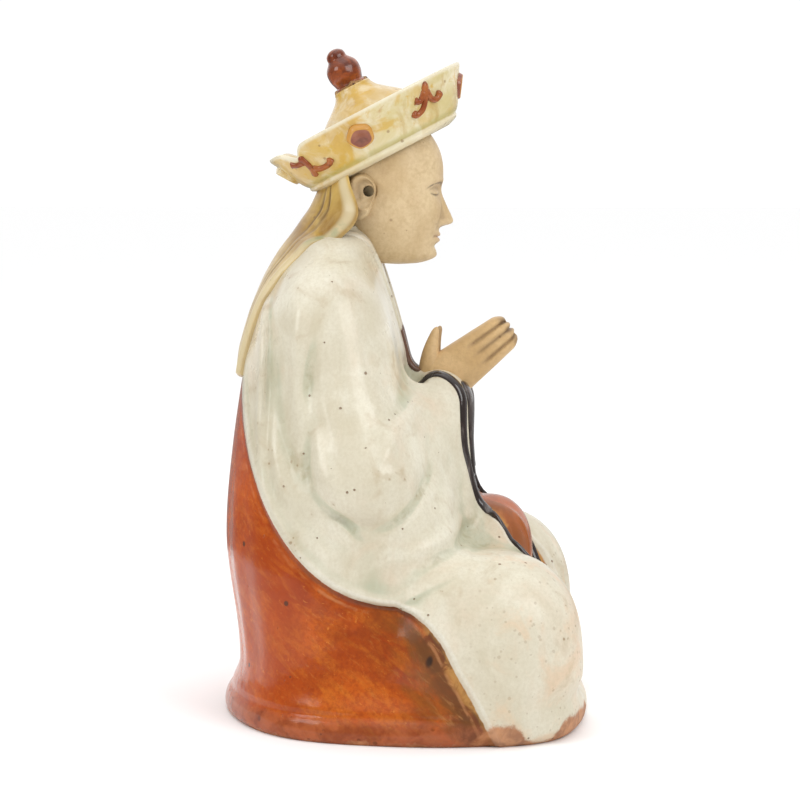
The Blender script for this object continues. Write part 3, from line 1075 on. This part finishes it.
def crownMaterial(name, low, high, patches):
    # pale yellow with gold patches, more of them behind, then runs, and cream along rim and bead
    material, s, shader = newMaterial(name, 0.2, 0.15)
    place = s.place()
    colour = s.blend(s.cloud(place, 45.0, 0.34, 0.66), low, high)
    axes = s.axes(place)
    gold = s.cloud(place, 78.0, 0.44, 0.6)
    gold = s.times(gold, s.ramp(axes[1], -0.022, 0.022, 0.35, 1.0))  # more of it behind
    rear = s.times(s.cloud(place, 48.0, 0.3, 0.56), s.ramp(axes[1], 0.002, 0.03))
    gold = s.sum("MAXIMUM", gold, s.times(rear, 0.85))
    flecks = s.cloud(place, 170.0, 0.58, 0.7)
    gold = s.sum("MAXIMUM", gold, s.times(flecks, 0.8))
    colour = s.tint(colour, gold, patches, (0.57, 0.34, 0.035, 1))
    olive = s.cloud(s.stretch(place, (1.0, 1.0, 1.0), (0.4, 0.9, 0.2)), 75.0, 0.6, 0.74)
    colour = s.tint(colour, olive, 0.5 * patches, (0.4, 0.38, 0.15, 1))
    pale = s.cloud(s.stretch(place, (1.0, 1.0, 1.0), (0.9, 0.3, 0.6)), 120.0, 0.46, 0.7)
    colour = s.tint(colour, pale, 0.5, (0.75, 0.7, 0.54, 1))
    rust = s.cloud(place, 150.0, 0.65, 0.74)
    colour = s.tint(colour, rust, 0.5, (0.42, 0.17, 0.03, 1))
    pool, rimSide = s.value("pool"), s.value("rim")
    runs = s.cloud(s.stretch(place, (190.0, 190.0, 45.0), (-0.48, 0.0, 0.0)), 1.0, 0.5, 0.74)
    colour = s.tint(colour, runs, 0.5, (0.44, 0.26, 0.06, 1))
    colour = s.blend(s.ramp(pool, 0.03, 0.22, 0.0, 0.55), colour, (0.33, 0.21, 0.06, 1))
    colour = s.tint(colour, s.ramp(rimSide, 1.9, 0.5), 0.8, (0.74, 0.69, 0.54, 1))
    bead = s.cloud(place, 90.0, 0.25, 0.5)
    colour = s.tint(colour, s.times(s.ramp(s.value("foot"), 3.2, 2.4), bead), 0.7, (0.72, 0.65, 0.47, 1))
    seam = s.times(s.ramp(s.value("foot"), 5.4, 3.6), s.ramp(s.value("foot"), 2.6, 3.3))
    colour = s.tint(colour, s.times(seam, bead), 0.55, (0.4, 0.35, 0.11, 1))
    specks = s.spots(place, 380.0, 0.28, 0.08)
    colour = s.tint(colour, specks, 0.6, (0.25, 0.13, 0.05, 1))
    finishGlaze(s, shader, place, colour, s.plus(s.times(s.noise(place, 140.0, 3.0), 0.2), 0.13))
    return material


def brownMaterial(name, low, high, rimColour):
    # thin brown glaze in dark patches, with a ragged rim where a colour is given
    material, s, shader = newMaterial(name, 0.15, 0.2)
    place = s.place()
    colour = s.blend(s.cloud(place, 110.0, 0.35, 0.68), low, high)
    dark = s.cloud(place, 190.0, 0.55, 0.72)
    colour = s.tint(colour, dark, 0.55, (0.06, 0.02, 0.012, 1))
    if rimColour:
        ragged = s.plus(s.value("rim"), s.times(s.sum("SUBTRACT", s.noise(place, 300.0), 0.5), 0.5))
        colour = s.blend(s.ramp(ragged, 0.35, 0.75), colour, rimColour)
    finishGlaze(s, shader, place, colour, s.plus(s.times(s.noise(place, 200.0), 0.2), 0.1))
    return material


yellowGlaze = crownMaterial("yellowGlaze", (0.58, 0.48, 0.22, 1), (0.72, 0.65, 0.46, 1), 0.88)
capGlaze = crownMaterial("capGlaze", (0.52, 0.36, 0.13, 1), (0.7, 0.58, 0.37, 1), 0.75)
bandLocal, rimGap, footGap = bandGrid()
bandSkin = onCrown(bandLocal)
bandValues = {"rim": rimGap, "foot": footGap, "pool": np.clip(hollows(bandSkin, 3), -1, 1)}
finishPiece(putSurface("crownBand", bandSkin, bandValues, closed=False), yellowGlaze)
capSkin = onCrown(turnedGrid(crown["cap"], 120, 90))
capValues = {"rim": 9.0, "foot": 9.0, "pool": np.clip(hollows(capSkin, 3), -1, 1)}
finishPiece(putSurface("crownCap", capSkin, capValues), capGlaze)
knobGlaze = brownMaterial("knobGlaze", (0.095, 0.016, 0.005, 1), (0.36, 0.082, 0.018, 1), None)
finishPiece(putSurface("crownKnob", onCrown(turnedGrid(crown["knob"], 80, 110))), knobGlaze)

neckRing = {"height": 29.8, "radius": 5.7, "thick": 0.95}


def neckRingGrid(columns=120, rows=28):
    # a rough ring where the knob was set back on: its thickness and height wander with the turn
    turn = fullTurn(columns)[:, None]
    loop = fullTurn(rows)[None, :]
    rough = 0.45 * np.sin(4 * turn + 0.5) + 0.3 * np.sin(9 * turn + 2) + 0.15 * np.sin(17 * turn)
    rough = rough + 0.12 * np.sin(3 * loop + 7 * turn)
    radius = neckRing["radius"] + neckRing["thick"] * (1 + 0.5 * rough) * np.cos(loop)
    height = neckRing["height"] + 0.35 * np.sin(3 * turn) + neckRing["thick"] * (0.85 + 0.5 * rough) * np.sin(loop)
    ring = np.stack([radius * np.sin(turn), radius * np.cos(turn), height], -1)
    return onCrown(np.concatenate([ring, ring[:1]]))


def brokenMaterial():
    # rough clay with dark crumbs
    material, s, shader = newMaterial("brokenEdge", 0.6)
    place = s.place()
    colour = s.blend(s.cloud(place, 330.0, 0.35, 0.65), (0.2, 0.075, 0.028, 1), (0.42, 0.24, 0.09, 1))
    colour = s.blend(s.cloud(place, 520.0, 0.5, 0.64), colour, (0.05, 0.02, 0.01, 1))
    s.feed(shader.inputs["Base Color"], colour)
    s.feed(shader.inputs["Roughness"], s.plus(s.times(s.noise(place, 300.0), 0.3), 0.45))
    bumpInto(s, shader, s.noise(place, 700.0, 4.0, 0.65), distance=0.0008)
    return material


finishPiece(putSurface("neckRing", neckRingGrid(), closed=False), brokenMaterial())

# the one at the plain turn, behind, has the band's own glaze
medallion = {"half": 5.1, "rise": 2.5, "height": 11, "lean": 0.6, "turns": [0, 97, 180, 263], "plain": 180}


def medallionGrid(turnDegrees, columns=48, rows=26):
    # a low dome with a rolled rim, set square on the band's slope
    v = np.linspace(0, 1, rows)[:, None]
    turn = fullTurn(columns)[None, :]
    share = np.sin(0.5 * np.pi * v)
    radius = medallion["half"] * share * (1 + 0.04 * np.sin(5 * turn + turnDegrees))
    dome = medallion["rise"] * (1 - v**2.2) * (0.72 + 0.28 * smooth(share, 0.1, 0.75))
    rise = dome + 0.5 * bell((share - 0.86) / 0.1) - 0.9
    rise = np.where(v >= 1, -1.6, rise) + 0 * turn
    a, lean = np.radians(turnDegrees), medallion["lean"]
    base = onBand(np.array(a), np.array(float(medallion["height"])), 0.0)
    out = np.array([np.sin(a) * np.cos(lean), np.cos(a) * np.cos(lean), -np.sin(lean)])
    side = np.array([np.cos(a), -np.sin(a), 0.0])
    up = np.cross(side, out)
    flat = radius[..., None] * (np.cos(turn)[..., None] * side + np.sin(turn)[..., None] * up)
    rim = smooth(share, 0.66, 0.84) if turnDegrees else bell((share - 0.82) / 0.1)
    return onCrown(base + flat + rise[..., None] * out), rim + 0 * turn


rubbedGold = (0.54, 0.27, 0.06, 1)
medallionGlaze = brownMaterial("medallionGlaze", (0.24, 0.075, 0.045, 1), (0.36, 0.14, 0.075, 1), rubbedGold)
for turnDegrees in medallion["turns"]:
    skin, rim = medallionGrid(turnDegrees)
    plain = turnDegrees == medallion["plain"]
    values = {"rim": 9.0 if plain else rim[::-1], "foot": 9.0, "pool": 0.0}
    piece = putSurface(f"medallion_{turnDegrees}", skin[::-1], values)
    if plain:
        finishPiece(piece, yellowGlaze)
    else:
        finishPiece(piece, medallionGlaze)

# runs by the turn they are set about: degrees from there, and height on the band
scroll = {
    "radius": 1.15, "around": 14, "lift": 0.25, "swell": 0.45,
    "runs": {
        50: [
            [(0, 18.2), (1.5, 13), (5, 9.5), (10, 8.6), (12.5, 10)],
            [(0.5, 15.5), (-3, 11.5), (-8, 10.6), (-12, 12.5)],
            [(1, 15), (6, 12.6), (9.5, 13.5)],
        ],
        141: [
            [(-21, 9.2), (-17, 7.6), (-10, 7.6), (-5, 9)],
            [(-4, 15), (-5, 11.5), (-4, 8.5), (-1, 6)],
            [(-4, 12.8), (2, 12.6), (7, 14)],
        ],
    },
}


def scrollGrid(angle, heights):
    # a cord laid on the band's face, thicker at both ends
    path = onCrown(onBand(angle, heights, scroll["lift"]))
    normals = path - onCrown(onBand(angle, heights, -1.0))
    normals /= np.linalg.norm(normals, axis=1, keepdims=True)
    share = np.linspace(0, 1, len(path))
    ends = bell(share / 0.2) + bell((share - 1) / 0.2)
    half = (scroll["radius"] * (1 + scroll["swell"] * ends))[:, None, None]
    return band(path, normals, half, scroll["radius"], 0.0, scroll["around"])


scrollGlaze = brownMaterial("scrollGlaze", (0.24, 0.05, 0.012, 1), (0.4, 0.13, 0.035, 1), None)
for place, runs in scroll["runs"].items():
    for side, sideName in sideNames.items():
        for n, run in enumerate(runs):
            turns, heights = curve(run, 34).T
            grid = scrollGrid(np.radians(side * (place + turns)), heights)
            finishPiece(putSurface(f"scroll_{place}_{sideName}_{n}", grid), scrollGlaze)
print("stage: crown")


# Head-cloth: hangs free behind the neck and lies on the back below it

veil = {
    # z, how far back its middle lies, half the width, how far its edges wrap forward
    "stations": [
        (209, -27, 18, 4), (199, -31.3, 19.5, 10.6), (190, -35.5, 21.5, 17.8), (186, -38.3, 23, 19),
        (181, -41.8, 24.5, 17), (173, -47.8, 25.5, 11.8), (163, -53.2, 24, 5.7), (147, -58.2, 24, 2.4),
        (127.5, -60.6, 25, 1),
    ],
    "columns": 160, "rows": 220, "squareness": 0.55, "hem": 1.6, "join": 3.0,
    "thick": 2.6, "thicker": (158, 170, 183, 190),  # heights between which its edges are fuller
    "bedded": 2.2, "beddedTop": (176, 186),  # sunk a little into the robe it lies on
    "lines": [0.5, 0.63], "lineDepth": 0.5, "lineDrift": 0.1, "lineHalf": 0.018, "lineDark": 0.014,
    "roll": 0.9, "rollHalf": 1.6,
}


def robeBack(x, z):
    # how far back the robe's skin lies, by halving between outside and the middle
    out, inside = np.full(x.shape, -90.0), np.full(x.shape, -20.0)
    missed = toRobe(x, inside, z) > 0
    for _ in range(18):
        middle = (out + inside) / 2
        clear = toRobe(x, middle, z) > 0
        out, inside = np.where(clear, middle, out), np.where(clear, inside, middle)
    return np.where(missed, 0.0, inside)


def veilGrid():
    # a flat oval section at each height, bent round the neck and pressed on to the robe
    z0, z1 = veil["stations"][-1][0], veil["stations"][0][0]
    v = np.linspace(0, 1, veil["rows"])[:, None]
    around = fullTurn(veil["columns"])[None, :]
    z = mix(z0, z1, v) + 0 * around
    middle, half, wrap = (along(veil["stations"], n, z) for n in (1, 2, 3))
    across = signedPower(np.cos(around), veil["squareness"]) + 0 * v
    closing = np.clip(np.minimum(v, 1 - v) * 60, 0, 1) ** 0.5
    through = 0.5 - 0.5 * signedPower(np.sin(around), veil["squareness"]) * closing
    hem = veil["hem"] * np.cos(2.2 * across) * (1 - smooth(v, 0.0, 0.06))
    x = across * half
    free = middle + wrap * across**2
    thick = veil["thick"] * (1 + within(z, *veil["thicker"]) * smooth(np.abs(across), 0.55, 1.0))
    bedded = veil["bedded"] * (1 - smooth(z, *veil["beddedTop"]))
    f = softJoin(free, robeBack(x, z) - veil["thick"], veil["join"]) + (thick + bedded) * through
    outer = smooth(0.5 - through, 0.1, 0.4)
    edge = (1 - np.abs(across)) * half
    f = f - veil["roll"] * bell((edge - veil["rollHalf"]) / veil["rollHalf"]) * outer
    lines = 0
    for at in veil["lines"]:
        off, shown = np.abs(across) - at - veil["lineDrift"] * (1 - v), smooth(v, 0.1, 0.3) * outer
        f = f + veil["lineDepth"] * bell(off / veil["lineHalf"]) * shown
        lines = lines + bell(off / veil["lineDark"]) * shown
    return np.stack([x, f, z - hem], -1), edge + 3 * (1 - outer), lines


def veilMaterial():
    # ochre in fine streaks, paler below and along the edges, green where it meets the shoulders
    material, s, shader = newMaterial("ochreGlaze", 0.3, 0.1)
    place = s.place()
    colour = s.blend(s.cloud(place, 42.0, 0.33, 0.66), (0.28, 0.145, 0.022, 1), (0.58, 0.385, 0.1, 1))
    fine = s.cloud(s.stretch(place, (300.0, 90.0, 60.0)), 1.0, 0.48, 0.72)
    colour = s.tint(colour, fine, 0.4, (0.54, 0.42, 0.2, 1))
    axes = s.axes(place)
    low = s.ramp(axes[2], 0.182, 0.158)
    colour = s.tint(colour, low, 0.6, (0.6, 0.49, 0.29, 1))
    colour = s.blend(s.ramp(s.value("edge"), 3.4, 1.4, 0.0, 0.85), colour, (0.64, 0.55, 0.35, 1))
    green = s.times(s.ramp(axes[2], 0.174, 0.179), s.ramp(axes[2], 0.188, 0.183), s.ramp(s.value("edge"), 3.6, 1.5))
    colour = s.tint(colour, green, s.cloud(place, 120.0, 0.36, 0.7), (0.33, 0.34, 0.19, 1))
    colour = s.tint(colour, s.value("line"), 0.9, (0.11, 0.06, 0.022, 1))
    specks = s.spots(place, 360.0, 0.3, 0.06)
    colour = s.tint(colour, specks, 0.6, (0.2, 0.11, 0.05, 1))
    finishGlaze(s, shader, place, colour, s.plus(s.times(s.noise(place, 150.0), 0.25), 0.2))
    return material


veilSkin, veilEdge, veilLines = veilGrid()
finishPiece(putSurface("headCloth", veilSkin, {"edge": veilEdge, "line": veilLines}), veilMaterial())
print("stage: head-cloth")


# Hands pressed together, fingers forward and up

hands = {
    "f": 13.8, "z": 124, "rise": 38, "length": 34.6,
    "wristHalf": 10.2, "tipHalf": 6.9, "thick": 7.4, "tipThick": 5.0,
    "grooves": [-0.5, 0.0, 0.5], "grooveDepth": 1.0, "grooveHalf": 0.1, "grooveFrom": (0.42, 0.62),
    "seam": 0.9, "seamHalf": 0.13, "fingerRound": 1.3, "tipRound": 1.0, "squareness": 0.62,
    "columns": 200, "rows": 130,
}
thumb = {
    "x": 3.2, "rootF": 10.2, "rootZ": 127, "tipF": 12.6, "tipZ": 145.2, "bow": 1.0, "root": 4.5, "tip": 1.0,
    "leftAhead": 1.3, "grime": {"right": 0.08, "left": 0.45},
}


def handsGrid():
    # a squarish oval section carried out along the fingers, grooved between them
    around = fullTurn(hands["columns"])[None, :]
    v = np.linspace(0, 1, hands["rows"])[:, None]
    across, side = (signedPower(wave(around), hands["squareness"]) for wave in (np.sin, np.cos))
    half = mix(hands["wristHalf"], hands["tipHalf"], v**0.8)
    grooved = smooth(v, *hands["grooveFrom"])
    groove = sum(bell((across - at) / hands["grooveHalf"]) for at in hands["grooves"])
    thick = mix(hands["thick"], hands["tipThick"], v) - hands["grooveDepth"] * grooved * groove
    closing = np.sqrt(np.clip(1 - np.clip((v - 0.91) / 0.09, 0, 1) ** 2.2, 0, 1))
    finger = np.abs(((across + 1.0) * 2) % 1 - 0.5) * 2  # 0 in the middle of a finger
    tip = (hands["fingerRound"] * finger**2 + hands["tipRound"] * (across - 0.1) ** 2) * smooth(v, 0.55, 1)
    length = hands["length"] * v - tip
    seam = hands["seam"] * bell(side / hands["seamHalf"]) * smooth(v, 0.1, 0.3)
    x = side * thick * (0.1 + 0.9 * closing) + 0 * v
    y = across * half * (0.8 + 0.2 * closing) - np.sign(across) * seam
    between = 0.6 * grooved * groove * (np.abs(side) > 0.3) + 0.8 * bell(side / 0.06)
    worn = smooth(v, 0.9, 0.97) * (0.35 + 0.3 * np.sin(9 * across + 2))  # rubbed through at the tips
    dark = np.clip(np.clip(between, 0, 1) * smooth(v, 0.3, 0.5) + np.clip(worn, 0, 1), 0, 1)
    a = np.radians(hands["rise"])
    ahead, up = length * np.cos(a) - y * np.sin(a), length * np.sin(a) + y * np.cos(a)
    return np.stack([x, hands["f"] + ahead, hands["z"] + up], -1), dark


def thumbGrid(side, columns=40, rows=60):
    # a bowed tapering finger, rounded at its tip
    turn = fullTurn(columns)[None, :]
    v = np.linspace(0, 1, rows)[:, None]
    closing = np.sqrt(np.clip(1 - np.clip((v - 0.9) / 0.1, 0, 1) ** 2, 0, 1))
    radius = mix(thumb["root"], thumb["tip"], v**1.3) * closing
    tipF = thumb["tipF"] + (thumb["leftAhead"] if side > 0 else 0)
    f = mix(thumb["rootF"], tipF, v) - thumb["bow"] * np.sin(np.pi * v) + radius * np.cos(turn)
    x = side * (thumb["x"] - 0.6 * v) + 0.85 * radius * np.sin(turn)
    return np.stack([x, f, mix(thumb["rootZ"], thumb["tipZ"], v) + 0 * turn], -1)


handsSkin, fingerGaps = handsGrid()
finishPiece(putSurface("hands", handsSkin, {"grime": fingerGaps}), skinBiscuit)
for side, sideName in sideNames.items():
    piece = putSurface(f"thumb_{sideName}", thumbGrid(side), {"grime": thumb["grime"][sideName]})
    finishPiece(piece, skinBiscuit)
print("stage: hands")


# Floor, light and camera

studio = {
    "floorSize": 6.0, "aim": (0.0, 0.0013, 0.117), "distance": 1.0, "elevation": 6.0, "yaw": 1.5, "lens": 118.42,
    "worldNear": 0.36, "worldFar": 1.05, "worldTop": 0.85, "background": 1.05, "tableEdge": 0.33,
    # place, size, watts
    "lamps": [((-0.62, 0.95, 0.62), 0.5, 3.9), ((-0.85, -0.85, 0.85), 0.7, 7.0), ((-0.15, 0.1, 1.4), 0.9, 1.7)],
}


def buildFloor():
    mesh = bpy.data.meshes.new("floor")
    r = studio["floorSize"]
    mesh.from_pydata([(-r, -r, 0), (r, -r, 0), (r, r, 0), (-r, r, 0)], [], [(0, 1, 2, 3)])
    floor = bpy.data.objects.new("floor", mesh)
    bpy.context.scene.collection.objects.link(floor)
    material, s, shader = newMaterial("paleFloor", 0.8)
    far = s.node("ShaderNodeVectorMath", operation="LENGTH")  # in the reflections the floor ends like a table
    s.feed(far.inputs[0], s.place())
    beyond = s.ramp(far.outputs["Value"], studio["tableEdge"], studio["tableEdge"] + 0.04)
    glossy = s.times(s.node("ShaderNodeLightPath").outputs["Is Glossy Ray"], beyond)
    s.feed(shader.inputs["Base Color"], s.blend(glossy, (0.95, 0.95, 0.95, 1), (0.25, 0.25, 0.25, 1)))
    floor.data.materials.append(material)


def aimAt(thing, target):
    # turns an object so that its -Z looks at the target
    away = np.array(target) - np.array(thing.location)
    flat = math.hypot(away[0], away[1])
    thing.rotation_euler = (math.atan2(flat, -away[2]), 0.0, math.atan2(away[1], away[0]) - math.pi / 2)


def buildLight():
    world = bpy.data.worlds.new("studio")
    bpy.context.scene.world = world
    world.use_nodes = True
    s = Sheet(world.node_tree)
    axes = s.axes(s.node("ShaderNodeTexCoord").outputs["Generated"])
    sky = world.node_tree.nodes["Background"]
    sky.inputs[0].default_value = (1, 1, 1, 1)
    behind = s.ramp(axes[0], 0.1, 0.85, studio["worldNear"], studio["worldFar"])
    above = s.ramp(axes[2], 0.3, 0.9, 0.0, studio["worldTop"])
    seen = s.times(s.node("ShaderNodeLightPath").outputs["Is Camera Ray"], studio["background"])
    s.feed(sky.inputs[1], s.sum("MAXIMUM", s.plus(behind, above), seen))
    for n, (place, size, watts) in enumerate(studio["lamps"]):
        lamp = bpy.data.lights.new(f"softbox_{n}", "AREA")
        lamp.size, lamp.energy = size, watts
        holder = bpy.data.objects.new(f"softbox_{n}", lamp)
        bpy.context.scene.collection.objects.link(holder)
        holder.location = place
        aimAt(holder, studio["aim"])


def buildCamera():
    camera = bpy.data.cameras.new("camera")
    holder = bpy.data.objects.new("camera", camera)
    bpy.context.scene.collection.objects.link(holder)
    e, a = math.radians(studio["elevation"]), math.radians(studio["yaw"])
    x, y, z = studio["aim"]
    d = studio["distance"]
    holder.location = (x - d * math.cos(e) * math.cos(a), y - d * math.cos(e) * math.sin(a), z + d * math.sin(e))
    aimAt(holder, studio["aim"])
    camera.lens = studio["lens"]
    camera.clip_start = 0.01
    bpy.context.scene.camera = holder


buildFloor()
buildLight()
buildCamera()
bpy.context.scene.view_settings.view_transform = "Standard"
print("stage: studio")
